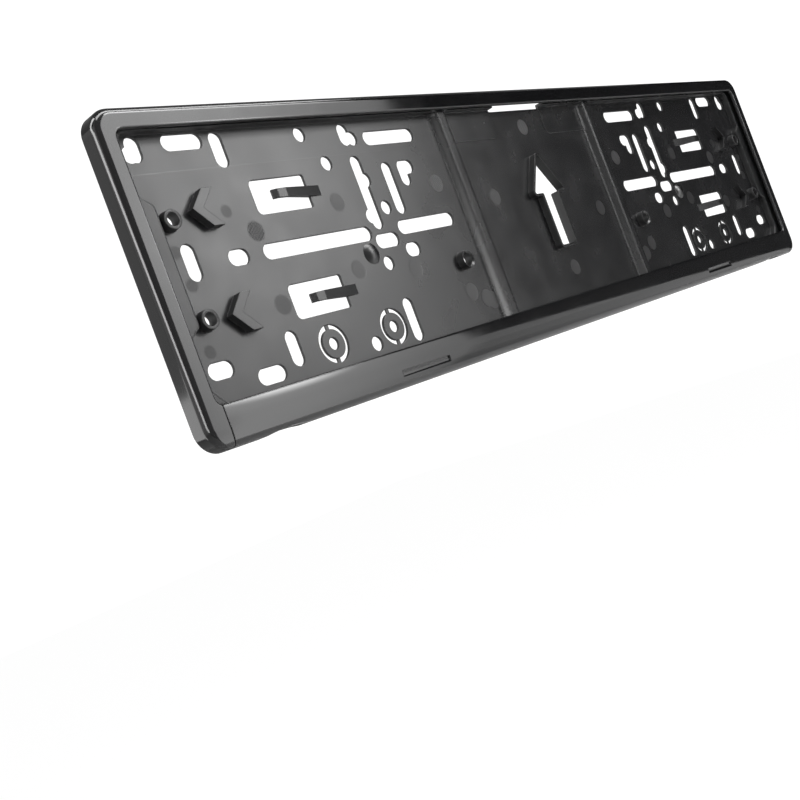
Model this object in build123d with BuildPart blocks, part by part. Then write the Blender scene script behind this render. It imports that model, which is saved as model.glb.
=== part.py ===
# Number plate holder for a 520 x 110 mm number plate. It is two mouldings: a
# tray that is screwed to the bumper, and a strip that snaps over the plate's
# lower edge. X runs to the right and Z up. The back of the tray lies on the
# bumper at Y = 0 and everything is built forward from there, towards -Y.
# Z = 0 is the row of long slots, which is the middle of the fixing pattern.
import os

from build123d import *

os.makedirs("parts", exist_ok=True)

# Number plate and its pocket
PLATE_LENGTH = 520.0
PLATE_HEIGHT = 110.0
PLATE_PLAY = 2.0            # room at each end of the plate
PLATE_LIFT = 2.2            # room above the plate
REST_Z = -56.0              # the plate's lower edge stands here

# Tray section, as heights above the bumper
FLOOR_T = 1.2
SEAT_H = 4.8                # dividers, bosses, chevrons and ledge carry the plate
GROOVE_H = 6.7              # underside of the lip that holds the plate
DEPTH = 8.5

# Rim
RIM_WALL = 3.0
LIP_END = 5.2               # lip over the groove at the two ends
LIP_TOP = 5.3               # lip over the groove at the top
CORNER_R = 9.0
SIGHT_R = 4.0
EDGE_R = 2.8                # rounding of the rim's outer edge
LIP_R = 0.7                 # rounding of the lip's inner edge
CROWN_DROP = 0.9            # the front leans back this much at the bottom
CROWN_H = 7.0               # and starts to this far above the bottom

# Ledge under the plate's ends
LEDGE = 8.0
LEDGE_WIDE = 12.9
LEDGE_HALF = 23.0           # half height of the wide part
LEDGE_RUN = 3.4             # height of the step between the two widths
LEDGE_R = 2.0
LEDGE_FOOT = 5.4            # height of the slanted step at the lower corner

# Hollow back of the rim, dividers and chevrons
RIM_SKIN = 2.0
CORE_SKIN = 1.3
LEDGE_SKIN = 1.6
RIB_T = 1.4
RIB_PITCH_X = 44.0
RIB_PITCH_Z = 26.0

# Floor
SLOT_W = 6.5
HOLE_D = 6.4
BAND_H = 15.0               # height of the raised band at the top of the middle panel
BAND_STEP = 0.4
BAND_GAP = 22.5             # half width of the gap in the band
BAND_R = 4.0
NOTCH_HALF = 23.4           # opening under the lip at the top middle
NOTCH_DROP = 0.8
NOTCH_TALL = 4.4

# Dividers
DIVIDER_X = 66.9
DIVIDER_W = 5.8
DIVIDER_FOOT = 2.2          # each side spreads this much down to the floor

# Bosses, chevrons and domes
BOSS_DRAFT = 4.0
CHEVRON_ARM = 7.1
CHEVRON_HALF = 7.45
CHEVRON_W = 5.3
DOME_D = 9.4
DOME_H = 1.7

# Knock-out discs, held by an upper and a lower bridge
KNOCKOUT_D = 16.1
KNOCKOUT_GAP = 2.0
KNOCKOUT_BRIDGE = 1.8
KNOCKOUT_BRIDGE_T = 0.6     # the bridges are thinner than the floor, to break out
KNOCKOUT_HOLE = 5.2

# Spring tongues, which press the plate forward against the lip
WINDOW_X = 168.0
WINDOW_L = 30.7
WINDOW_H = 14.3
WINDOW_R = 2.5
WINDOW_ROOT_R = 1.0         # tighter corners beside the tongue's root
TONGUE_ROOT = 6.7           # the tongue starts this far inside the window's edge
TONGUE_RISE = 22.5
TONGUE_FLAT = 4.6
TONGUE_TIP = 2.9
TONGUE_T = 1.3
TONGUE_H = 5.0
TONGUE_DROP = 0.8
TONGUE_W = 4.4
TONGUE_TIP_W = 3.6
TONGUE_LOW = 0.4            # the tongue lies this far below the window's middle

# Arrow opening in the middle panel, with a collar around it
ARROW_Z = -0.3
ARROW_H = 49.5
ARROW_HEAD_W = 29.0
ARROW_HEAD_H = 21.0
ARROW_STEM_W = 13.6
ARROW_R = 1.0
COLLAR_T = 1.2

# Retaining strip
STRIP_DROP = 11.3           # the strip's lower edge lies this far below the rest
STRIP_COVER = 4.25          # the strip hides this much of the plate
STRIP_T = 1.8
STRIP_EDGE_R = 0.9
STRIP_BEND_R = 1.5
END_BLOCK = 10.0            # width of the tray's lower corners
SEAM = 0.4                  # gap at each end of the strip
FIT = 0.3                   # gap between the strip and the tray's floor and rail
RAIL_T = 1.4
HOOKS = 8
HOOK_PITCH = 60.0
HOOK_L = 12.0
HOOK_T = 1.3
HOOK_NOSE = 1.0
HOOK_NOSE_L = 1.5
PRY_X = 145.0               # scoops for a screwdriver, low on the strip's front
PRY_L = 32.0
PRY_H = 3.0
PRY_DEPTH = 0.7
THUMB_X = 227.5             # shallow notches in the strip's lower edge
THUMB_L = 21.0
THUMB_DEPTH = 0.7

# Sizes that follow
HALF = PLATE_LENGTH / 2 + PLATE_PLAY + RIM_WALL
POCKET_X = HALF - RIM_WALL
POCKET_Z = REST_Z + PLATE_HEIGHT + PLATE_LIFT
TOP_Z = POCKET_Z + RIM_WALL
BOTTOM_Z = REST_Z - STRIP_DROP
HEIGHT = TOP_Z - BOTTOM_Z
MIDDLE_Z = (TOP_Z + BOTTOM_Z) / 2
SIGHT_X = POCKET_X - LIP_END
SIGHT_Z = POCKET_Z - LIP_TOP
STRIP_Z = REST_Z + STRIP_COVER
CROWN_Z = BOTTOM_Z + CROWN_H
BAY_X = HALF - END_BLOCK
LEDGE_X = POCKET_X - LEDGE
WIDE_X = POCKET_X - LEDGE_WIDE
ROOF_H = SEAT_H - LEDGE_SKIN
RAIL_H = GROOVE_H - FIT
RAIL_Z = REST_Z - RAIL_T
FLOOR_END_Z = BOTTOM_Z + STRIP_T + FIT
BAND_Z = SIGHT_Z - BAND_H
SLOT_R = SLOT_W / 2
CLEAR = 1.0                 # cutters run this far past what they cut

# Places on the right half, as (x, z, length) for slots and (x, z) for round
# features. What stands by an edge of the tray is measured from that edge.
END, TOP, LOW = LEDGE_X, SIGHT_Z, STRIP_Z
LYING_SLOTS = (
    (172.0, 0, 63.5),
    (102.0, 0, 40.2),
    (131.7, -4.4, 15.0),
    (117.4, -10.5, 9.7),
    (102.3, 27.1, 11.1),
    (105.8, TOP - 8.9, 34.7),
    (END - 37.4, 0, 10.3),
    (END - 30.6, TOP - 4.0, 19.4),
    (END - 10.1, LOW + 12.3, 12.1),
    (END - 32.6, LOW + 5.5, 14.4),
)
UPRIGHT_SLOTS = (
    (133.8, 17.8, 33.8),
    (115.4, 18.2, 24.4),
    (104.6, 24.35, 12.0),
    (134.7, TOP - 6.4, 10.0),
    (134.4, LOW + 11.3, 19.6),
    (END - 7.7, TOP - 5.6, 10.0),
    (END - 14.8, 1.1, 14.5),
    (END - 47.0, TOP - 8.3, 14.5),
    (END - 47.9, LOW + 12.8, 14.4),
)
KEY_HOLES = ((131.5, 23.5), (136.3, 7.1), (130.5, TOP - 8.3), (END - 5.4, TOP - 7.4))
FIXING_X = 161.2
FIXING_Z = TOP - 4.75
ROUND_HOLES = (
    (FIXING_X, FIXING_Z),
    (FIXING_X, -FIXING_Z),
    (151.5, TOP - 18.2),
    (124.9, 10.0),
    (136.3, -14.3),
)
KNOCKOUTS = ((185.2, LOW + 10.5), (147.8, LOW + 10.6))
WINDOWS_Z = (22.0, -21.6)
CHEVRONS = ((END - 21.3, 19.9), (END - 21.3, -21.2))
DOME_X = 145.0
DOME_Z = -8.9

# Bosses as (x, z, outside diameter, bore, how far the bore's mouth opens out)
BOSSES = (
    (END - 10.9, 17.1, 8.1, 5.3, 0),
    (END - 10.9, -21.1, 8.1, 5.3, 0),
    (86.5, -20.8, 8.8, 6.0, 0.9),
)

# Arrow that fills the middle panel
with BuildSketch() as arrow:
    with BuildLine():
        tip_z = ARROW_Z + ARROW_H / 2
        Polyline(
            (0, tip_z),
            (ARROW_HEAD_W / 2, tip_z - ARROW_HEAD_H),
            (ARROW_STEM_W / 2, tip_z - ARROW_HEAD_H),
            (ARROW_STEM_W / 2, tip_z - ARROW_H),
            (0, tip_z - ARROW_H),
        )
        mirror(about=Plane.YZ)
    make_face()
    fillet(arrow.vertices(), ARROW_R)

# Chevron that points right, with its point at the origin
with BuildSketch() as chevron:
    with BuildLine():
        Polyline(
            (0, 0),
            (-CHEVRON_ARM, CHEVRON_HALF),
            (-CHEVRON_ARM - CHEVRON_W, CHEVRON_HALF),
            (-CHEVRON_W, 0),
        )
        mirror(about=Plane.XZ)
    make_face()

# Hollow behind a chevron
with BuildSketch() as chevron_core:
    offset(chevron.sketch, amount=-CORE_SKIN, kind=Kind.INTERSECTION)

# Ring around a knock-out disc, and the same cut by the bridges, with the hole
# in the disc's middle
with BuildSketch() as ring:
    Circle(KNOCKOUT_D / 2)
    Circle(KNOCKOUT_D / 2 - KNOCKOUT_GAP, mode=Mode.SUBTRACT)

with BuildSketch() as knockout:
    add(ring.sketch)
    Rectangle(KNOCKOUT_BRIDGE, KNOCKOUT_D, mode=Mode.SUBTRACT)
    Circle(KNOCKOUT_HOLE / 2)

# Window under a spring tongue, outwards from its inner edge
with BuildSketch() as window:
    Rectangle(WINDOW_L, WINDOW_H, align=(Align.MIN, Align.CENTER))
    fillet(window.vertices().group_by(Axis.X)[-1], WINDOW_R)
    fillet(window.vertices().group_by(Axis.X)[0], WINDOW_ROOT_R)

# Notch in the strip's lower edge
with BuildSketch() as thumb:
    with BuildLine():
        bow = ThreePointArc(
            (-THUMB_L / 2, BOTTOM_Z),
            (0, BOTTOM_Z + THUMB_DEPTH),
            (THUMB_L / 2, BOTTOM_Z),
        )
        Line(bow @ 1, bow @ 0)
    make_face()

# One spring tongue, lying along X beside the middle of its window
with BuildPart() as tongue:
    root_x = WINDOW_X - TONGUE_ROOT
    crest_x = root_x + TONGUE_RISE
    bend_x = crest_x + TONGUE_FLAT
    tip_x = bend_x + TONGUE_TIP
    tip_y = -TONGUE_H + TONGUE_DROP
    with BuildSketch(Plane.XY):
        with BuildLine():
            Polyline(
                (root_x, -FLOOR_T),
                (crest_x, -TONGUE_H),
                (bend_x, -TONGUE_H),
                (tip_x, tip_y),
                (tip_x - TONGUE_T / 2, tip_y + TONGUE_T),
                (bend_x, -TONGUE_H + TONGUE_T),
                (crest_x, -TONGUE_H + TONGUE_T),
                (WINDOW_X, 0),
                (root_x, 0),
                close=True,
            )
        make_face()
    extrude(amount=TONGUE_W / 2, both=True)
    with BuildSketch(Plane.XZ):
        with BuildLine():
            Polyline(
                (root_x, -TONGUE_W / 2),
                (tip_x, -TONGUE_TIP_W / 2),
                (tip_x, TONGUE_TIP_W / 2),
                (root_x, TONGUE_W / 2),
                close=True,
            )
        make_face()
    extrude(amount=DEPTH, mode=Mode.INTERSECT)

# A low dome that stiffens the floor
with BuildPart() as dome:
    with BuildSketch():
        with BuildLine():
            cap = ThreePointArc(
                (-DOME_D / 2, -FLOOR_T),
                (0, -FLOOR_T - DOME_H),
                (DOME_D / 2, -FLOOR_T),
            )
            Line(cap @ 0, cap @ 1)
        make_face()
        split(bisect_by=Plane.YZ, keep=Keep.TOP)
    revolve(axis=Axis.Y)

# What is cut off the front low down, where the tray and the strip lean back
with BuildPart() as relief:
    with BuildSketch(Plane.YZ):
        with BuildLine():
            lean = TangentArc((-DEPTH, CROWN_Z), (-DEPTH + CROWN_DROP, BOTTOM_Z), tangent=(0, -1))
            Polyline(
                lean @ 1,
                (0, BOTTOM_Z),
                (0, BOTTOM_Z - CLEAR),
                (-DEPTH - CLEAR, BOTTOM_Z - CLEAR),
                (-DEPTH - CLEAR, CROWN_Z),
                lean @ 0,
            )
        outside = make_face()
        fillet(outside.vertices().sort_by_distance((-DEPTH + CROWN_DROP, BOTTOM_Z, 0))[0], EDGE_R)
    extrude(amount=HALF + CLEAR, both=True)

# Tray. Its right half is made first and mirrored at the end.
with BuildPart() as holder_base:
    # Block with a rounded outer edge
    with BuildSketch(Plane.XZ):
        with Locations((0, MIDDLE_Z)):
            RectangleRounded(2 * HALF, HEIGHT, CORNER_R)
    extrude(amount=DEPTH)
    fillet(holder_base.faces().sort_by(Axis.Y)[0].edges(), EDGE_R)
    add(relief.part, mode=Mode.SUBTRACT)
    split(bisect_by=Plane.YZ, keep=Keep.TOP)

    # Recess down to the floor, inside the ledge, and the bay for the strip
    with BuildSketch(Plane.XZ.offset(FLOOR_T)) as recess:
        with BuildLine():
            FilletPolyline(
                (0, SIGHT_Z),
                (LEDGE_X, SIGHT_Z),
                (LEDGE_X, LEDGE_HALF + LEDGE_RUN),
                (WIDE_X, LEDGE_HALF),
                (WIDE_X, -LEDGE_HALF),
                (LEDGE_X, -LEDGE_HALF - LEDGE_RUN),
                (LEDGE_X, STRIP_Z + LEDGE_FOOT),
                (WIDE_X, STRIP_Z),
                radius=(SIGHT_R, LEDGE_R, LEDGE_R, LEDGE_R, LEDGE_R, LEDGE_R),
            )
            Polyline(
                (WIDE_X, STRIP_Z),
                (BAY_X, STRIP_Z),
                (BAY_X, BOTTOM_Z - CLEAR),
                (0, BOTTOM_Z - CLEAR),
                (0, SIGHT_Z),
            )
        make_face()
    extrude(amount=SEAT_H - FLOOR_T, mode=Mode.SUBTRACT)

    # Opening in the front of the rim
    with BuildSketch(Plane.XZ.offset(SEAT_H)):
        with BuildLine():
            corner_z = STRIP_Z + (SIGHT_R**2 - (SIGHT_R - SIGHT_X + BAY_X) ** 2) ** 0.5
            FilletPolyline((0, SIGHT_Z), (SIGHT_X, SIGHT_Z), (SIGHT_X, corner_z), radius=SIGHT_R)
            RadiusArc((SIGHT_X, corner_z), (BAY_X, STRIP_Z), SIGHT_R)
            Polyline(
                (BAY_X, STRIP_Z),
                (BAY_X, BOTTOM_Z - CLEAR),
                (0, BOTTOM_Z - CLEAR),
                (0, SIGHT_Z),
            )
        make_face()
    extrude(amount=DEPTH - SEAT_H, mode=Mode.SUBTRACT)
    front = holder_base.edges().filter_by(lambda e: abs(e.center().Y + DEPTH) < 0.01)
    lip = front.filter_by(lambda e: 1 < e.center().X < SIGHT_X + 0.01)
    fillet(lip.filter_by(lambda e: STRIP_Z < e.center().Z < SIGHT_Z + 0.01), LIP_R)

    # Groove behind the lip for the plate's edges
    with BuildSketch(Plane.XZ.offset(SEAT_H)):
        with Locations((0, REST_Z)):
            Rectangle(POCKET_X, POCKET_Z - REST_Z, align=(Align.MIN, Align.MIN))
    extrude(amount=GROOVE_H - SEAT_H, mode=Mode.SUBTRACT)

    # The floor stops above the strip's lower wall
    with BuildSketch(Plane.XZ):
        with Locations((0, FLOOR_END_Z)):
            Rectangle(BAY_X, HEIGHT, align=(Align.MIN, Align.MAX))
    extrude(amount=DEPTH, mode=Mode.SUBTRACT)

    # Hollow back of the rim, crossed by ribs
    with BuildSketch(Plane.XZ):
        with Locations((0, MIDDLE_Z)):
            RectangleRounded(2 * (HALF - RIM_SKIN), HEIGHT - 2 * RIM_SKIN, CORNER_R - RIM_SKIN)
        offset(recess.sketch_local, amount=LEDGE_SKIN, mode=Mode.SUBTRACT)
        with Locations((0, TOP_Z)):
            with GridLocations(RIB_PITCH_X, 1, 2 * int(WIDE_X / RIB_PITCH_X), 1):
                Rectangle(RIB_T, HEIGHT, mode=Mode.SUBTRACT)
        with Locations((HALF, MIDDLE_Z)):
            with GridLocations(1, RIB_PITCH_Z, 1, 4):
                Rectangle(2 * LEDGE_WIDE, RIB_T, mode=Mode.SUBTRACT)
    extrude(amount=ROOF_H, mode=Mode.SUBTRACT)

    # Raised band at the top of the middle panel, broken in the middle
    with BuildSketch(Plane.XZ.offset(FLOOR_T)):
        with BuildLine():
            FilletPolyline((DIVIDER_X, BAND_Z), (BAND_GAP, BAND_Z), (BAND_GAP, SIGHT_Z), radius=BAND_R)
            Polyline((BAND_GAP, SIGHT_Z), (DIVIDER_X, SIGHT_Z), (DIVIDER_X, BAND_Z))
        make_face()
    extrude(amount=BAND_STEP)

    # Rail that the plate stands on
    with BuildSketch(Plane.XZ.offset(FLOOR_T)):
        with Locations((0, RAIL_Z)):
            Rectangle(BAY_X, RAIL_T, align=(Align.MIN, Align.MIN))
    extrude(amount=RAIL_H - FLOOR_T)

    # Dividers between the three panels
    with BuildSketch(Plane.XY.offset(REST_Z)):
        with BuildLine():
            Polyline(
                (DIVIDER_X - DIVIDER_W / 2 - DIVIDER_FOOT, -FLOOR_T),
                (DIVIDER_X - DIVIDER_W / 2, -SEAT_H),
                (DIVIDER_X + DIVIDER_W / 2, -SEAT_H),
                (DIVIDER_X + DIVIDER_W / 2 + DIVIDER_FOOT, -FLOOR_T),
                close=True,
            )
        make_face()
    extrude(amount=SIGHT_Z - REST_Z)

    # Chevrons that point to the ends
    with BuildSketch(Plane.XZ.offset(FLOOR_T)):
        with Locations(*CHEVRONS):
            add(chevron.sketch)
    extrude(amount=SEAT_H - FLOOR_T)

    # Hollow backs of the dividers and chevrons
    with BuildSketch(Plane.XZ):
        with Locations((DIVIDER_X, REST_Z)):
            Rectangle(DIVIDER_W - 2 * CORE_SKIN, SIGHT_Z - REST_Z, align=(Align.CENTER, Align.MIN))
        with Locations(*CHEVRONS):
            add(chevron_core.sketch)
    extrude(amount=ROOF_H, mode=Mode.SUBTRACT)

    # Bosses
    for x, z, outside, bore, mouth in BOSSES:
        with BuildSketch(Plane.XZ.offset(FLOOR_T)):
            with Locations((x, z)):
                Circle(outside / 2)
        extrude(amount=SEAT_H - FLOOR_T, taper=BOSS_DRAFT)
        if mouth:
            with BuildSketch(Plane.XZ.offset(SEAT_H)):
                with Locations((x, z)):
                    Circle(bore / 2 + mouth)
            extrude(amount=-mouth, taper=45, mode=Mode.SUBTRACT)

    # Domes
    with Locations((DOME_X, 0, DOME_Z)):
        add(dome.part)

    # Slots, holes, knock-outs and windows through the floor
    with BuildSketch(Plane.XZ):
        for x, z, length in LYING_SLOTS:
            with Locations((x, z)):
                SlotOverall(length, SLOT_W)
        for x, z, length in UPRIGHT_SLOTS:
            with Locations((x, z)):
                SlotOverall(length, SLOT_W, rotation=90)
        with Locations(*KEY_HOLES):
            Circle(SLOT_R)
        with Locations(*ROUND_HOLES):
            Circle(HOLE_D / 2)
        with Locations(*KNOCKOUTS):
            add(knockout.sketch)
        for x, z, outside, bore, mouth in BOSSES:
            with Locations((x, z)):
                Circle(bore / 2)
        with Locations(*[(WINDOW_X, z) for z in WINDOWS_Z]):
            add(window.sketch)
        with Locations((0, SIGHT_Z - NOTCH_DROP)):
            Rectangle(NOTCH_HALF, NOTCH_TALL, align=(Align.MIN, Align.MIN))
    extrude(amount=GROOVE_H, mode=Mode.SUBTRACT)
    with BuildSketch(Plane.XZ.offset(KNOCKOUT_BRIDGE_T)):
        with Locations(*KNOCKOUTS):
            add(ring.sketch)
    extrude(amount=FLOOR_T - KNOCKOUT_BRIDGE_T, mode=Mode.SUBTRACT)

    # Spring tongues
    with Locations(*[(0, 0, z - TONGUE_LOW) for z in WINDOWS_Z]):
        add(tongue.part)

    mirror(about=Plane.YZ)

    # Windows in the rail for the strip's hooks
    with BuildSketch(Plane.XY.offset(RAIL_Z)):
        with Locations((0, -FLOOR_T)):
            with GridLocations(HOOK_PITCH, 1, HOOKS, 1):
                Rectangle(HOOK_L + 2 * FIT, HOOK_NOSE_L + 2 * FIT, align=(Align.CENTER, Align.MAX))
    extrude(amount=RAIL_T, mode=Mode.SUBTRACT)

    # Arrow opening and its collar
    with BuildSketch(Plane.XZ.offset(FLOOR_T)):
        offset(arrow.sketch, amount=COLLAR_T)
    extrude(amount=SEAT_H - FLOOR_T)
    with BuildSketch(Plane.XZ):
        add(arrow.sketch)
    extrude(amount=SEAT_H, mode=Mode.SUBTRACT)

holder_base.part.label = "holder_base"
export_step(holder_base.part, "parts/holder_base.step")

# Retaining strip, a bent section with snap hooks behind it
with BuildPart() as retaining_strip:
    with BuildSketch(Plane.YZ):
        with BuildLine():
            Polyline(
                (-DEPTH, BOTTOM_Z),
                (0, BOTTOM_Z),
                (0, BOTTOM_Z + STRIP_T),
                (-GROOVE_H, BOTTOM_Z + STRIP_T),
                (-GROOVE_H, STRIP_Z),
                (-DEPTH, STRIP_Z),
                close=True,
            )
        make_face()
    extrude(amount=BAY_X - SEAM, both=True)
    long_edges = retaining_strip.edges().filter_by(Axis.X)
    brow = long_edges.sort_by_distance((0, -DEPTH, STRIP_Z))[0]
    bend = long_edges.sort_by_distance((0, -GROOVE_H, BOTTOM_Z + STRIP_T))[0]
    fillet(brow, STRIP_EDGE_R)
    fillet(bend, STRIP_BEND_R)
    add(relief.part, mode=Mode.SUBTRACT)

    # Snap hooks that reach back under the rail, with a nose up into its windows
    hook_z = RAIL_Z - FIT
    hook_end = -FLOOR_T - FIT
    with BuildSketch(*[Plane.YZ.offset(HOOK_PITCH * (i - (HOOKS - 1) / 2)) for i in range(HOOKS)]):
        with BuildLine():
            Polyline(
                (-GROOVE_H, hook_z),
                (hook_end - HOOK_NOSE_L, hook_z),
                (hook_end - HOOK_NOSE_L, hook_z + FIT + HOOK_NOSE),
                (hook_end, hook_z),
                (hook_end, hook_z - HOOK_T),
                (-GROOVE_H, hook_z - HOOK_T),
                close=True,
            )
        make_face()
    extrude(amount=HOOK_L / 2, both=True)

    # Scoops for a screwdriver, and notches in the lower edge
    with BuildSketch(*[Plane.YZ.offset(x) for x in (-PRY_X, PRY_X)]):
        with BuildLine():
            scoop = ThreePointArc(
                (-DEPTH, CROWN_Z),
                (-DEPTH + PRY_DEPTH, CROWN_Z - PRY_H / 2),
                (-DEPTH, CROWN_Z - PRY_H),
            )
            Line(scoop @ 1, scoop @ 0)
        make_face()
    extrude(amount=PRY_L / 2, both=True, mode=Mode.SUBTRACT)
    with BuildSketch(Plane.XZ):
        with Locations((-THUMB_X, 0), (THUMB_X, 0)):
            add(thumb.sketch)
    extrude(amount=DEPTH, mode=Mode.SUBTRACT)

retaining_strip.part.label = "retaining_strip"
export_step(retaining_strip.part, "parts/retaining_strip.step")
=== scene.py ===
# %% [markdown]
# A number plate holder is a black plastic tray with a strip clipped along its
# lower edge. Both are injection moulded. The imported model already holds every
# rib, slot and tongue as a real shape, so Blender's work is the plastic, the
# light and the camera. The file starts by loading the model, which stays as it
# is: nothing here moves or changes its meshes.

import bpy
from mathutils import Matrix, Vector

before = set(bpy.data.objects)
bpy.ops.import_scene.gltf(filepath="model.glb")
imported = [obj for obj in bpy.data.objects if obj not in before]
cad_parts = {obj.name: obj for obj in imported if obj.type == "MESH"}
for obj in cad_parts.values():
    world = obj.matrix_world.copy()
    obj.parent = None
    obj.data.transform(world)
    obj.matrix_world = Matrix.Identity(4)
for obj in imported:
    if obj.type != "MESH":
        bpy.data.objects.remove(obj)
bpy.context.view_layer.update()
MM = 0.001                  # the scene is in metres, and this file thinks in millimetres
print("nodes", sorted(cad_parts))

# %% [markdown]
# The camera comes first, because every reflection depends on it. It stands to
# the left of the holder and a little below its middle, close enough for a strong
# perspective, and it is rolled, so that the long rim climbs to the right. The
# direction and the focal length come from fitting known points of the holder to
# the picture. A camera matrix has the right, up and backward directions as its
# columns.

# %% Camera
CAMERA_MM = (-501.9, -312.7, -76.4)
FORWARD = Vector((0.7385, 0.6742, 0.0112)).normalized()
UPWARD = Vector((0.2301, -0.2677, 0.9356))
FOCAL_PX = 1119.7
FRAME_PX = 800
SENSOR_MM = 36

right = FORWARD.cross(UPWARD).normalized()
up = right.cross(FORWARD)
camera_data = bpy.data.cameras.new("camera")
camera_data.sensor_width = SENSOR_MM
camera_data.lens = FOCAL_PX / FRAME_PX * SENSOR_MM
camera_data.clip_start = 0.01
camera = bpy.data.objects.new("camera", camera_data)
turn = Matrix((right, up, -FORWARD)).transposed()
camera.matrix_world = Matrix.Translation(Vector(CAMERA_MM) * MM) @ turn.to_4x4()
bpy.context.scene.collection.objects.link(camera)
bpy.context.scene.camera = camera
print("lens", round(camera_data.lens, 2), "mm")

# %% [markdown]
# Three helpers carry all the materials. Colours are written as sRGB hex, as a
# paint chart gives them, and Blender's sockets want linear light, so one
# function turns one into the other. The second adds a node of any kind. Where an
# input is given another node, the two are linked, so a chain of nodes reads like
# a sum on paper. The third starts an empty material.

# %% Helpers for colours and nodes
MATH = "ShaderNodeMath"
REMAP = "ShaderNodeMapRange"
NOISE = "ShaderNodeTexNoise"
VECTOR = "ShaderNodeVectorMath"
COORDINATES = "ShaderNodeTexCoord"
SPLIT = "ShaderNodeSeparateXYZ"
MIX = "ShaderNodeMix"
EMISSION = "ShaderNodeEmission"


def linear(hex_code):
    """An sRGB hex colour as linear RGBA."""
    channels = [int(hex_code[i:i + 2], 16) / 255 for i in (1, 3, 5)]
    return [c / 12.92 if c <= 0.04045 else ((c + 0.055) / 1.055) ** 2.4 for c in channels] + [1]


def add(tree, kind, inputs=None, **settings):
    """Add a node. Each input takes a value, a socket, or a node for its first output."""
    node = tree.nodes.new(kind)
    for name, value in settings.items():
        setattr(node, name, value)
    for name, value in (inputs or {}).items():
        if isinstance(value, bpy.types.Node):
            value = value.outputs[0]
        if isinstance(value, bpy.types.NodeSocket):
            tree.links.new(value, node.inputs[name])
        else:
            node.inputs[name].default_value = value
    return node


def new_material(name):
    """A material with an empty node tree and its output node."""
    material = bpy.data.materials.new(name)
    material.use_nodes = True
    tree = material.node_tree
    tree.nodes.clear()
    return material, tree, add(tree, "ShaderNodeOutputMaterial")


print("a near black as linear light", [round(c, 5) for c in linear("#0c0c0d")])

# %% [markdown]
# The tray and the strip are ABS, coloured black right through with carbon black.
# The colour is nearly the same everywhere, and what the eye sees is the gloss:
# how wide a reflection spreads. So the material starts from the place on the
# part, in millimetres, and asks what the mould did there. No picture and no
# unwrapping is needed.

# %% Places on the part
def place_mm(tree):
    """The place on the part in millimetres, as a vector and as x, y and z."""
    where = add(tree, COORDINATES)
    place = add(tree, VECTOR, {0: where.outputs["Object"], "Scale": 1 / MM}, operation="SCALE")
    parts = add(tree, SPLIT, {0: place})
    return place, parts.outputs[0], parts.outputs[1], parts.outputs[2]


# %% [markdown]
# The steel of the mould was polished where the rim shows on the car, and left
# satin on the floor, which hides behind the plate. The walls of the slots, ribs
# and bosses are a third surface, and so is the wall round the rim's opening.
# They drag along the steel as the part is pushed out of the mould, and come out
# dull. A wall is found by its normal, which lies across the tray's depth. Each
# mask is 1 inside its zone and 0 outside. The lowest of several distances is
# above 0 only where all of them are, and so picks out a box.

# %% Zones that the mould leaves
RIM_X = 262.1               # the rim's flat front ends here, and its rounding begins
RIM_Z = 56.3
WALL_Y = -6.5               # the rim's polished front lies before this depth
OPENING_X = 259.0           # the wall round the rim's opening lies within these
OPENING_Z = (-45.0, 54.0)
STEEP = 0.5                 # a wall's normal leans at least 60 degrees from the front


def mould_zones(tree, side, y, z, rim_y):
    """Masks for the polished skin and for the walls that dragged."""
    beyond_end = add(tree, MATH, {0: side, 1: RIM_X}, operation="SUBTRACT")
    beyond_top = add(tree, MATH, {0: z, 1: RIM_Z}, operation="SUBTRACT")
    beyond_front = add(tree, MATH, {0: rim_y, 1: y}, operation="SUBTRACT")
    outside = add(tree, MATH, {0: beyond_end, 1: beyond_top}, operation="MAXIMUM")
    outside = add(tree, MATH, {0: outside, 1: beyond_front}, operation="MAXIMUM")
    polished = add(tree, MATH, {0: outside, 1: 0.0}, operation="GREATER_THAN")

    surface = add(tree, "ShaderNodeNewGeometry")
    normal = add(tree, SPLIT, {0: surface.outputs["True Normal"]})
    depthwise = add(tree, MATH, {0: normal.outputs[1]}, operation="ABSOLUTE")
    steep = add(tree, MATH, {0: depthwise, 1: STEEP}, operation="LESS_THAN")
    deep = add(tree, MATH, {0: y, 1: WALL_Y}, operation="GREATER_THAN")
    wall = add(tree, MATH, {0: steep, 1: deep}, operation="MULTIPLY")

    within_ends = add(tree, MATH, {0: OPENING_X, 1: side}, operation="SUBTRACT")
    over_strip = add(tree, MATH, {0: z, 1: OPENING_Z[0]}, operation="SUBTRACT")
    under_lip = add(tree, MATH, {0: OPENING_Z[1], 1: z}, operation="SUBTRACT")
    within = add(tree, MATH, {0: within_ends, 1: under_lip}, operation="MINIMUM")
    within = add(tree, MATH, {0: within, 1: over_strip}, operation="MINIMUM")
    opening = add(tree, MATH, {0: within, 1: 0.0}, operation="GREATER_THAN")
    opening = add(tree, MATH, {0: opening, 1: steep}, operation="MULTIPLY")

    polished = add(tree, MATH, {0: polished, 1: opening}, operation="SUBTRACT", use_clamp=True)
    wall = add(tree, MATH, {0: wall, 1: opening}, operation="MAXIMUM")
    dragged = add(tree, MATH, {0: wall, 1: polished}, operation="SUBTRACT", use_clamp=True)
    return polished, dragged


print("the rim is polished beyond x", RIM_X, "and z", RIM_Z, "mm")

# %% [markdown]
# Pins push the cooled part out of the mould, and each leaves a round mark on the
# floor. The pins' ends are turned, and a few are knurled, so the marks are
# duller than the floor, and some show a fine lattice. They press in only a few
# hundredths of a millimetre, which is why they are drawn here and aren't cut
# into the model. The two outer panels have the same pins, so the absolute value
# of x serves both, and the middle panel has a few of its own.

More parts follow.
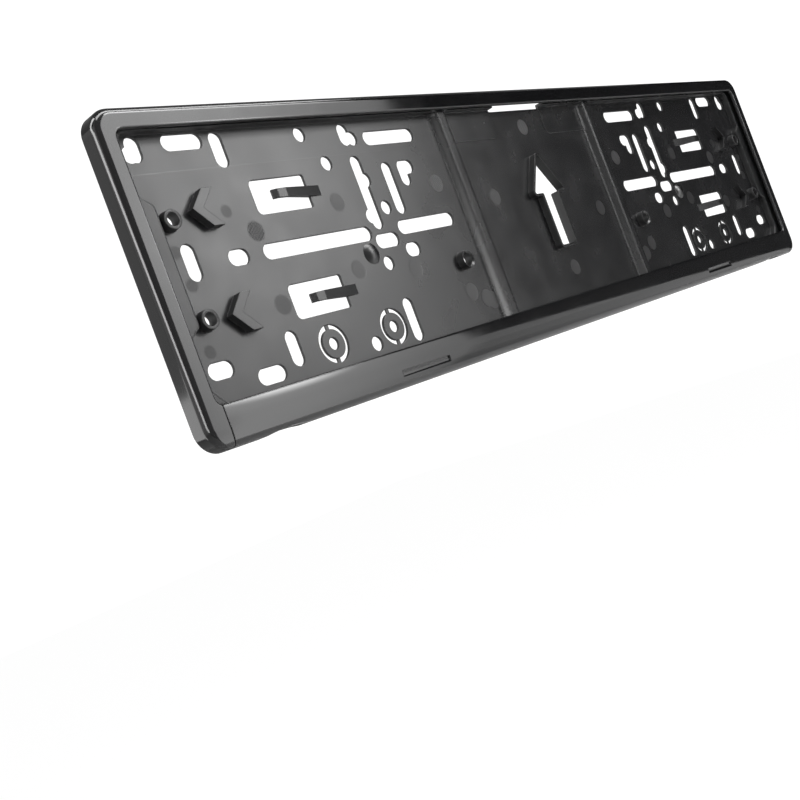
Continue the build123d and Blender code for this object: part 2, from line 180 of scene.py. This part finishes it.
# %% Ejector pin marks
PLAIN_PAIRS = (             # x, z and radius, one on each half
    (203.8, -21.6, 4.0),
    (153.4, 15.4, 4.0),
    (156.0, -14.4, 4.0),
    (120.8, -19.4, 4.0),
    (88.6, -35.6, 4.0),
    (75.5, -41.8, 4.0),
    (79.0, -40.3, 4.0),
    (214.5, 18.2, 2.5),
    (246.0, -32.3, 2.5),
    (245.0, 5.7, 2.5),
    (243.0, -7.3, 2.5),
)
KNURLED_PAIRS = ((203.6, 8.8, 4.0), (84.5, 17.5, 4.0))
PLAIN_SINGLES = ((-44.0, 6.5, 4.0), (48.0, -9.3, 4.0), (2.3, -37.3, 4.0))
KNURLED_SINGLES = ((2.5, 40.7, 4.0),)
MARK_SOFT_MM = 0.5          # the mark's border fades over this width on each side
NO_MARK_MM = 100.0          # farther than any mark
KNURL_MM = 1.1              # from one ridge to the next
KNURL_ANGLES = (0.7, -0.9)
WAVE_TEXTURE_PERIOD = 0.314  # Blender's wave texture repeats after this, at a scale of 1


def marked(tree, x, side, z, singles, pairs):
    """A mask that is 1 inside the given round marks."""
    nearest = NO_MARK_MM
    for across, marks in ((x, singles), (side, pairs)):
        flat = add(tree, "ShaderNodeCombineXYZ", {0: across, 2: z})
        for mark_x, mark_z, radius in marks:
            apart = add(tree, VECTOR, {0: flat, 1: (mark_x, 0, mark_z)}, operation="DISTANCE")
            apart = apart.outputs["Value"]
            past_edge = add(tree, MATH, {0: apart, 1: radius}, operation="SUBTRACT")
            nearest = add(tree, MATH, {0: past_edge, 1: nearest}, operation="MINIMUM")
    return add(tree, REMAP, {0: nearest, 1: -MARK_SOFT_MM, 2: MARK_SOFT_MM, 3: 1.0, 4: 0.0})


def knurl(tree, place):
    """Crossed ridges, from 0 to 1."""
    ridges = []
    for angle in KNURL_ANGLES:
        turned = add(
            tree, "ShaderNodeVectorRotate",
            {"Vector": place, "Axis": (0, 1, 0), "Angle": angle}, rotation_type="AXIS_ANGLE",
        )
        scale = WAVE_TEXTURE_PERIOD / KNURL_MM
        ridge = add(tree, "ShaderNodeTexWave", {"Vector": turned, "Scale": scale})
        ridges.append(ridge.outputs["Fac"])
    return add(tree, MATH, {0: ridges[0], 1: ridges[1]}, operation="MULTIPLY")


pairs = len(PLAIN_PAIRS) + len(KNURLED_PAIRS)
print("pin marks", 2 * pairs + len(PLAIN_SINGLES) + len(KNURLED_SINGLES))

# %% [markdown]
# The surface itself comes next, as a height in millimetres. There is a fine
# grain, spark eroded into the steel. The real grain is about 0.05 mm and can't
# show here, so it is drawn ten times as coarse. There is a slow waviness, where
# the plastic shrank unevenly as it cooled. A faint line runs along the tray
# where two inserts of the mould met with a small step. The strip's face is
# crowned by a tenth of a millimetre or two, so that it doesn't look hollow. The
# crown drops with the square of the distance from its highest line, and goes on
# in a straight line where the strip's own curve begins.

# %% Surface height
GRAIN_MM = 0.5
GRAIN_DEPTH = 0.004
WAVE_MM = 28.0
WAVE_DEPTH_SATIN = 0.11
WAVE_DEPTH_POLISHED = 0.03
STEP_Z = 35.9
STEP_HALF_WIDTH = 0.3
STEP_DEPTH = 0.035
STEP_FROM_X = 66.0          # the middle panel has its own raised band
PIN_DEPTH = 0.03
KNURL_DEPTH = 0.10
CROWN_Z = -56.6             # the crown's highest line
CROWN_END_Z = -60.3         # below this the strip's own curve takes over


def surface_height(tree, place, side, z, polished, pressed, lattice, front, crown):
    """The height of all the small relief on the part, in millimetres."""
    grain = add(tree, NOISE, {"Vector": place, "Scale": 1 / GRAIN_MM, "Detail": 2.0})
    grain_depth = add(tree, REMAP, {0: polished, 3: GRAIN_DEPTH, 4: 0.0})
    height = add(tree, MATH, {0: grain, 1: grain_depth}, operation="MULTIPLY")

    wave = add(tree, NOISE, {"Vector": place, "Scale": 1 / WAVE_MM, "Detail": 1.0})
    wave_depth = add(tree, REMAP, {0: polished, 3: WAVE_DEPTH_SATIN, 4: WAVE_DEPTH_POLISHED})
    height = add(tree, MATH, {0: wave, 1: wave_depth, 2: height}, operation="MULTIPLY_ADD")

    step = add(
        tree, REMAP,
        {0: z, 1: STEP_Z - STEP_HALF_WIDTH, 2: STEP_Z + STEP_HALF_WIDTH},
        interpolation_type="SMOOTHSTEP",
    )
    outer = add(tree, MATH, {0: side, 1: STEP_FROM_X}, operation="GREATER_THAN")
    step = add(tree, MATH, {0: step, 1: outer}, operation="MULTIPLY")
    step = add(tree, MATH, {0: step, 1: front}, operation="MULTIPLY")
    for mask, rise in ((step, -STEP_DEPTH), (pressed, -PIN_DEPTH), (lattice, KNURL_DEPTH)):
        height = add(tree, MATH, {0: mask, 1: rise, 2: height}, operation="MULTIPLY_ADD")

    curved = add(tree, MATH, {0: z, 1: CROWN_END_Z}, operation="MAXIMUM")
    straight = add(tree, MATH, {0: z, 1: curved}, operation="SUBTRACT")
    away = add(tree, MATH, {0: curved, 1: CROWN_Z}, operation="SUBTRACT")
    drop = add(tree, MATH, {0: away, 1: away}, operation="MULTIPLY")
    slope = 2 * (CROWN_END_Z - CROWN_Z)
    drop = add(tree, MATH, {0: straight, 1: slope, 2: drop}, operation="MULTIPLY_ADD")
    return add(tree, MATH, {0: drop, 1: -crown, 2: height}, operation="MULTIPLY_ADD")


print("grain drawn", GRAIN_MM, "mm wide and", GRAIN_DEPTH, "mm deep")

# %% [markdown]
# Every edge of a moulding is rounded a little, because a mould can't be cut
# perfectly sharp. The Bevel node turns the light round the edge without touching
# the mesh. The two dividers are rounder than the rest, and the light band on
# their crests comes from that. So is the ledge at each end of the floor, which
# shows as a dark line where it drops to the floor.

# %% Rounded edges
EDGE_MM = 0.45
DIVIDER_EDGE_MM = 2.6
DIVIDER_SPAN = (61.0, 73.0)
LEDGE_EDGE_MM = 1.1
LEDGE_X = 236.0
LEDGE_Y = -1.9


def ledge_mask(tree, side, y, polished):
    """A mask that is 1 on the ledges that carry the plate's ends."""
    past = add(tree, MATH, {0: side, 1: LEDGE_X}, operation="GREATER_THAN")
    raised = add(tree, MATH, {0: y, 1: LEDGE_Y}, operation="LESS_THAN")
    ledge = add(tree, MATH, {0: past, 1: raised}, operation="MULTIPLY")
    return add(tree, MATH, {0: ledge, 1: polished}, operation="SUBTRACT", use_clamp=True)


def rounded_edges(tree, side, ledge, polished):
    """The normal with its edges rounded, more on the dividers and the ledges."""
    past_start = add(tree, MATH, {0: side, 1: DIVIDER_SPAN[0]}, operation="GREATER_THAN")
    before_end = add(tree, MATH, {0: side, 1: DIVIDER_SPAN[1]}, operation="LESS_THAN")
    divider = add(tree, MATH, {0: past_start, 1: before_end}, operation="MULTIPLY")
    divider = add(tree, MATH, {0: divider, 1: polished}, operation="SUBTRACT", use_clamp=True)
    radius = add(tree, REMAP, {0: divider, 3: EDGE_MM * MM, 4: DIVIDER_EDGE_MM * MM})
    more = (LEDGE_EDGE_MM - EDGE_MM) * MM
    radius = add(tree, MATH, {0: ledge, 1: more, 2: radius}, operation="MULTIPLY_ADD")
    return add(tree, "ShaderNodeBevel", {"Radius": radius}, samples=4)


print("edges rounded by", EDGE_MM, "mm, dividers by", DIVIDER_EDGE_MM, "mm")

# %% [markdown]
# Now the plastic itself. Roughness is the sum of what each zone gives, with a
# little unevenness from the flow of the melt. The satin is duller at the left
# end, where the ribs and bosses lose their reflections in the floor, and the
# change is slow. Carbon black mixes into the resin almost evenly, so two near
# blacks are enough for the colour.

# %% Black ABS, injection moulded
ABS_IOR = 1.54
ABS_BLACKS = ("#0c0c0d", "#111112")
GLOSS = 0.08                # roughness of the polished skin
DULL_MM = (-190.0, -60.0)   # the satin changes between these places along the part
FRONT_Y = -0.9              # the floor's front face lies in front of this depth
FLOW_MM = 18.0
FLOW_NOISE = (0.3, 0.7)     # the noise hardly leaves this range

LEFT_END_DULLS = 0.09       # these add to the roughness
DRAG_DULLS = 0.25
PIN_DULLS = 0.12
LEDGE_DULLS = 0.06
FLOW_DULLS = 0.03


def moulded_abs(name, satin, rim_y, with_marks, crown):
    """Black moulded ABS that is glossy in front of rim_y and satin behind it."""
    material, tree, output = new_material(name)
    place, x, y, z = place_mm(tree)
    side = add(tree, MATH, {0: x}, operation="ABSOLUTE")
    polished, dragged = mould_zones(tree, side, y, z, rim_y)
    ledge = ledge_mask(tree, side, y, polished)

    on_front = add(tree, MATH, {0: y, 1: FRONT_Y}, operation="LESS_THAN")
    front = add(tree, MATH, {0: on_front, 1: polished}, operation="SUBTRACT", use_clamp=True)
    pressed, lattice = 0.0, 0.0
    if with_marks:
        knurled = marked(tree, x, side, z, KNURLED_SINGLES, KNURLED_PAIRS)
        plain = marked(tree, x, side, z, PLAIN_SINGLES, PLAIN_PAIRS)
        pressed = add(tree, MATH, {0: plain, 1: knurled}, operation="MAXIMUM")
        pressed = add(tree, MATH, {0: pressed, 1: front}, operation="MULTIPLY")
        lattice = add(tree, MATH, {0: knurled, 1: knurl(tree, place)}, operation="MULTIPLY")
        lattice = add(tree, MATH, {0: lattice, 1: front}, operation="MULTIPLY")

    height = surface_height(tree, place, side, z, polished, pressed, lattice, front, crown)
    edges = rounded_edges(tree, side, ledge, polished)
    bump = add(
        tree, "ShaderNodeBump",
        {"Height": height, "Distance": MM, "Strength": 1.0, "Normal": edges},
    )

    dull = add(
        tree, REMAP,
        {0: x, 1: DULL_MM[0], 2: DULL_MM[1], 3: satin + LEFT_END_DULLS, 4: satin},
    )
    roughness = add(tree, REMAP, {0: polished, 3: dull, 4: GLOSS})
    for mask, more in ((dragged, DRAG_DULLS), (pressed, PIN_DULLS), (ledge, LEDGE_DULLS)):
        roughness = add(tree, MATH, {0: mask, 1: more, 2: roughness}, operation="MULTIPLY_ADD")
    flow = add(tree, NOISE, {"Vector": place, "Scale": 1 / FLOW_MM, "Detail": 3.0})
    uneven = add(
        tree, REMAP,
        {0: flow, 1: FLOW_NOISE[0], 2: FLOW_NOISE[1], 3: -FLOW_DULLS, 4: FLOW_DULLS},
    )
    roughness = add(tree, MATH, {0: roughness, 1: uneven}, operation="ADD")

    darker, lighter = (linear(hex_code) for hex_code in ABS_BLACKS)
    colour = add(tree, MIX, {0: flow.outputs[0], "A": darker, "B": lighter}, data_type="RGBA")
    shader = add(
        tree, "ShaderNodeBsdfPrincipled",
        {
            "Base Color": colour.outputs["Result"],
            "Roughness": roughness,
            "IOR": ABS_IOR,
            "Normal": bump,
        },
    )
    tree.links.new(shader.outputs[0], output.inputs["Surface"])
    print(name, len(tree.nodes), "nodes")
    return material


# %% [markdown]
# The two mouldings come out of two moulds. The tray is mostly satin floor, with
# pin marks, and only the front of its rim is polished. The strip is polished
# over its whole front, and is a little rougher behind. Each piece keeps the mesh
# of the model and only gets its material.

# %% Put the plastic on the tray and the strip
finishes = {
    "holder_base": moulded_abs(
        "abs_moulded_satin", satin=0.255, rim_y=-6.75, with_marks=True, crown=0.0,
    ),
    "retaining_strip": moulded_abs(
        "abs_moulded_polished", satin=0.3, rim_y=-6.0, with_marks=False, crown=0.0125,
    ),
}
for name, finish in finishes.items():
    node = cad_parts[name]
    node.data.materials.clear()
    node.data.materials.append(finish)
    print(name, "wears", finish.name)

# %% [markdown]
# Everything round the holder is stage: a paper floor, cloths that shine, and boards that cut
# reflections off. All are flat pieces, made from their corners by one helper. Most of them show
# only in reflections, and they stand in the way of neither the camera nor the light.

# %% Stage pieces
ONLY_REFLECTED = ("camera", "diffuse", "transmission", "volume_scatter", "shadow")


def panel(name, corners, material, hidden_from=()):
    """A flat stage piece that some kinds of ray don't see."""
    mesh = bpy.data.meshes.new(name)
    mesh.from_pydata(corners, [], [tuple(range(len(corners)))])
    mesh.materials.append(material)
    piece = bpy.data.objects.new(name, mesh)
    bpy.context.scene.collection.objects.link(piece)
    for ray in hidden_from:
        setattr(piece, "visible_" + ray, False)
    print(name, "stands")


def standing(start, end, low, high):
    """The corners of an upright panel over a line on the floor plan."""
    return [(*start, low), (*end, low), (*end, high), (*start, high)]


def glowing(name, strength):
    """A material that only shines."""
    material, tree, output = new_material(name)
    shine = add(tree, EMISSION, {"Strength": strength})
    tree.links.new(shine.outputs[0], output.inputs["Surface"])
    return material


# %% [markdown]
# The floor is white studio paper, far enough below the holder to leave it alone.
# Where the camera sees it directly it is topped up to white, and the small share
# that is left of its own shading still shows a shadow. Its far part is topped up
# in reflections too, because the lit paper in front gives the strip's lower half
# its grey.

# %% Floor
FLOOR_Z = -0.42
FLOOR_HALF = 4.0
PAPER_WHITE = 1.07
TOPPED_UP = 0.9             # this share is white, and the rest is the paper's own shading
MIRRORED_FROM = (1.2, 1.9)  # metres from the middle between which it fades in

paper, tree, output = new_material("paper_white")
fibre = add(tree, NOISE, {"Scale": 40.0, "Detail": 2.0})
tone = add(
    tree, MIX,
    {0: fibre.outputs[0], "A": linear("#f0f0f0"), "B": linear("#fafafa")}, data_type="RGBA",
)
matt = add(tree, "ShaderNodeBsdfDiffuse", {"Color": tone.outputs["Result"]})
white = add(tree, EMISSION, {"Color": (1, 1, 1, 1), "Strength": PAPER_WHITE})
path = add(tree, "ShaderNodeLightPath")
where = add(tree, COORDINATES)
reach = add(tree, VECTOR, {0: where.outputs["Object"]}, operation="LENGTH")
lit = add(
    tree, REMAP,
    {0: reach.outputs["Value"], 1: MIRRORED_FROM[0], 2: MIRRORED_FROM[1], 3: 0.0, 4: 1.0},
)
mirrored = add(tree, MATH, {0: path.outputs["Is Glossy Ray"], 1: lit}, operation="MULTIPLY")
share = add(tree, MATH, {0: path.outputs["Is Camera Ray"], 1: mirrored}, operation="ADD")
share = add(tree, MATH, {0: share, 1: TOPPED_UP}, operation="MULTIPLY")
mixed = add(tree, "ShaderNodeMixShader", {0: share, 1: matt, 2: white})
tree.links.new(mixed.outputs[0], output.inputs["Surface"])

signs = ((-1, -1), (1, -1), (1, 1), (-1, 1))
panel("floor", [(sx * FLOOR_HALF, sy * FLOOR_HALF, FLOOR_Z) for sx, sy in signs], paper)

# %% [markdown]
# Black gloss shows whatever stands around it, so the studio is part of the look.
# The surroundings are white where the camera or a reflection looks at them, and
# dimmer as a light source, so that they don't wash the black out.

# %% World
AS_A_LIGHT = 0.3
AS_SEEN = 1.15

world = bpy.data.worlds.new("studio")
bpy.context.scene.world = world
world.use_nodes = True
tree = world.node_tree
tree.nodes.clear()
path = add(tree, "ShaderNodeLightPath")
seen = path.outputs["Is Camera Ray"]
for ray in ("Is Glossy Ray", "Is Transmission Ray"):
    seen = add(tree, MATH, {0: seen, 1: path.outputs[ray]}, operation="MAXIMUM").outputs[0]
strength = add(tree, REMAP, {0: seen, 3: AS_A_LIGHT, 4: AS_SEEN})
backdrop = add(tree, "ShaderNodeBackground", {"Color": (1, 1, 1, 1), "Strength": strength})
add(tree, "ShaderNodeOutputWorld", {"Surface": backdrop})
print("the surroundings shine at", AS_A_LIGHT, "and look", AS_SEEN)

# %% [markdown]
# One lamp hangs overhead, a little in front. It lights the paper and the
# recesses, and it draws the thin light line along the rim's top edge. An area
# lamp points down as it is made, so it only has to be put in its place. Its
# energy is four times its brightness times its area.

# %% Overhead lamp
LAMP_WIDTH = 1.3
LAMP_DEPTH = 0.36
LAMP_RADIANCE = 7.0

lamp = bpy.data.lights.new("overhead", "AREA")
lamp.shape = "RECTANGLE"
lamp.size = LAMP_WIDTH
lamp.size_y = LAMP_DEPTH
lamp.energy = 4 * LAMP_WIDTH * LAMP_DEPTH * LAMP_RADIANCE
overhead = bpy.data.objects.new("overhead", lamp)
overhead.location = (0.25, -0.53, 0.9)
overhead.visible_camera = False
bpy.context.scene.collection.objects.link(overhead)
print("overhead", round(lamp.energy, 1), "W")

# %% [markdown]
# The key light is a large cloth in front, on the right of the camera. Its
# picture in the rim and in the floor is what makes the left half pale. It fades
# towards its right end and towards its foot, it is brightest where its lamp
# stands behind it, and its head shines in the rim's top edge. It is drawn as a
# mesh, because a lamp can't fade across its face. Four ramps over the cloth are
# multiplied.

# %% Key light
KEY_Y = -0.7
KEY_X = (0.24, 0.787)
KEY_Z = (-0.42, 0.62)
KEY_LAMP = (0.44, KEY_Y, 0.19)

cloth, tree, output = new_material("diffuser_cloth")
where = add(tree, COORDINATES)
along = add(tree, SPLIT, {0: where.outputs["Object"]})
fade = add(
    tree, REMAP,
    {0: along.outputs[0], 1: 0.33, 2: KEY_X[1], 3: 4.4, 4: 1.9}, interpolation_type="SMOOTHSTEP",
)
low_end = add(tree, REMAP, {0: along.outputs[0], 1: 0.285, 2: 0.33, 3: 0.62, 4: 0.86})
foot = add(tree, REMAP, {0: along.outputs[2], 1: -0.05, 2: 0.22, 3: low_end, 4: 1.08})
head = add(tree, REMAP, {0: along.outputs[2], 1: 0.37, 2: 0.46, 3: 1.0, 4: 3.4})
apart = add(tree, VECTOR, {0: where.outputs["Object"], 1: KEY_LAMP}, operation="DISTANCE")
core = add(
    tree, REMAP,
    {0: apart.outputs["Value"], 1: 0.03, 2: 0.15, 3: 3.6, 4: 1.0}, interpolation_type="SMOOTHSTEP",
)
glow = fade
for ramp in (foot, head, core):
    glow = add(tree, MATH, {0: glow, 1: ramp}, operation="MULTIPLY")
shine = add(tree, EMISSION, {"Strength": glow})
tree.links.new(shine.outputs[0], output.inputs["Surface"])
key_corners = standing((KEY_X[0], KEY_Y), (KEY_X[1], KEY_Y), *KEY_Z)
panel("key_box", key_corners, cloth, ("camera",))

# %% [markdown]
# On the left a narrow cloth gives the thin bright line down the rim's outer
# rounding. It leans, because the line moves across the rounding on its way down.
# A second cloth above it carries the line round the upper corner. A card below
# lights the lower corner, where the rim's outer wall turns pale.

# %% Left cloths and card
rim_light = glowing("rim_cloth", 10.0)
panel(
    "rim_cloth",
    [(-0.51, -0.37, -0.12), (-0.51, -0.22, -0.12), (-0.51, 0.21, 0.26), (-0.51, 0.08, 0.26)],
    rim_light, ONLY_REFLECTED,
)
panel(
    "corner_cloth",
    [(-0.51, 0.08, 0.26), (-0.51, 0.21, 0.26), (-0.45, 0.1, 0.8), (-0.45, -0.25, 0.8)],
    rim_light, ONLY_REFLECTED,
)
low_left = standing((-0.54, 0.19), (-0.74, 0.9), -0.3, 0.0)
panel("card_low_left", low_left, glowing("bounce_card", 3.2), ONLY_REFLECTED)

# %% [markdown]
# Black boards beside and above the cloths cut the reflections off, as a
# photographer does with black card. The foot of the board on the right slopes
# down from the key light. Under it the white surroundings show as a pale band
# along the strip, which narrows to the right. The boards stand on white paper,
# which lights them a little, most at their feet and next to the key light.

# %% Black boards
velvet, tree, output = new_material("velvet_black")
where = add(tree, COORDINATES)
along = add(tree, SPLIT, {0: where.outputs["Object"]})
near_foot = add(tree, REMAP, {0: along.outputs[2], 1: 0.0, 2: 0.3, 3: 0.13, 4: 0.01})
near_key = add(tree, REMAP, {0: along.outputs[0], 1: 0.8, 2: 1.6, 3: 1.0, 4: 0.05})
glow = add(tree, MATH, {0: near_foot, 1: near_key}, operation="MULTIPLY")
shine = add(tree, EMISSION, {"Strength": glow})
tree.links.new(shine.outputs[0], output.inputs["Surface"])

BOARD_FRONT_Y = -0.72       # just behind the key light's cloth
BOARD_END = (1.7, -0.2)     # the board on the right turns back here
BOARD_TOP = 1.4
FOOT_AT_KEY = -0.007
FOOT_AT_END = -0.39

above_key = standing((KEY_X[0], BOARD_FRONT_Y), (KEY_X[1], BOARD_FRONT_Y), KEY_Z[1], 0.9)
panel("board_above_key", above_key, velvet, ONLY_REFLECTED)
far_right = standing(BOARD_END, (1.7, 1.0), FOOT_AT_END, BOARD_TOP)
panel("board_far_right", far_right, velvet, ONLY_REFLECTED)
panel(
    "board_right",
    [
        (KEY_X[1], BOARD_FRONT_Y, FOOT_AT_KEY),
        (*BOARD_END, FOOT_AT_END),
        (*BOARD_END, BOARD_TOP),
        (KEY_X[1], BOARD_FRONT_Y, BOARD_TOP),
    ],
    velvet, ONLY_REFLECTED,
)

# %% [markdown]
# The boards in front, on the left and on top glow a dark grey, which is painted light and not a
# lamp. It keeps the shape of the rim's rounding and of the walls readable where black would
# swallow it.

# %% Boards that glow grey as painted light
above = [(-1.2, -0.36, 0.92), (1.7, -0.36, 0.92), (1.7, 1.3, 0.7), (-1.2, 1.3, 0.7)]
left = standing((-0.55, 0.19), (-0.75, 0.9), 0.0, 0.8)
front_left = standing((-1.2, BOARD_FRONT_Y), (KEY_X[0], BOARD_FRONT_Y), -0.4, BOARD_TOP)
# Painted light: each board glows a dark grey at the strength given beside it.
for name, corners, brightness in (
    ("painted_grey_top", above, 0.25),
    ("painted_grey_left", left, 0.7),
    ("painted_grey_front", front_left, 0.4),
):
    panel("board_" + name, corners, glowing(name, brightness), ONLY_REFLECTED)

# %% [markdown]
# At the end the view is set to show colours as they were written.

# %% Finish
bpy.context.scene.view_settings.view_transform = "Standard"
